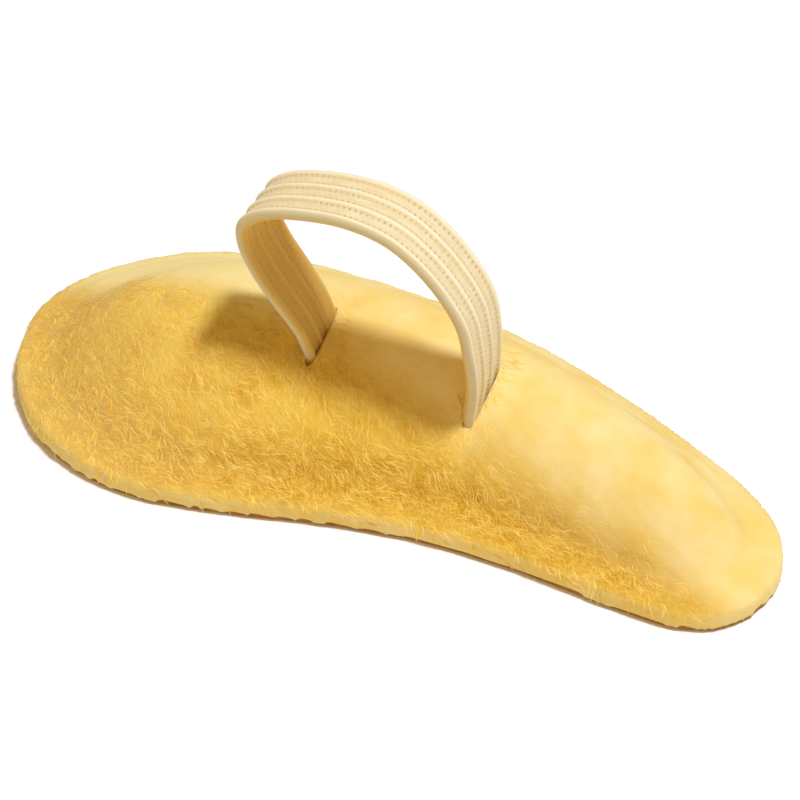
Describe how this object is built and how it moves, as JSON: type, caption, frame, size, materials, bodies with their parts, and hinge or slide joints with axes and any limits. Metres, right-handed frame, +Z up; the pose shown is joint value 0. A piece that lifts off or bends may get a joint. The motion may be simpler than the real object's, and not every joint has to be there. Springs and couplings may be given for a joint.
{
  "type": "hammer toe cushion",
  "caption": "Crescent cushion of felt under brushed fabric that lies under the toes, held to one toe by an elastic loop.",
  "frame": {"origin": "on the surface that the cushion lies on, under the middle of its bounding box", "axes": "+X along the cushion from the wide end to the narrow end, +Y from the hollow front edge to the round back edge, +Z up through the toe loop"},
  "size_m": [0.0826, 0.0374, 0.0309],
  "materials": {
    "cover_fabric": "brushed golden yellow nap",
    "felt": "matte pressed felt",
    "sole_fabric": "brushed golden brown",
    "elastic": "ribbed woven elastic"
  },
  "bodies": {
    "root": {"top_cover": "cover_fabric", "felt_core": "felt", "sole_sheet": "sole_fabric", "toe_loop": "elastic"}
  },
  "joints": []
}
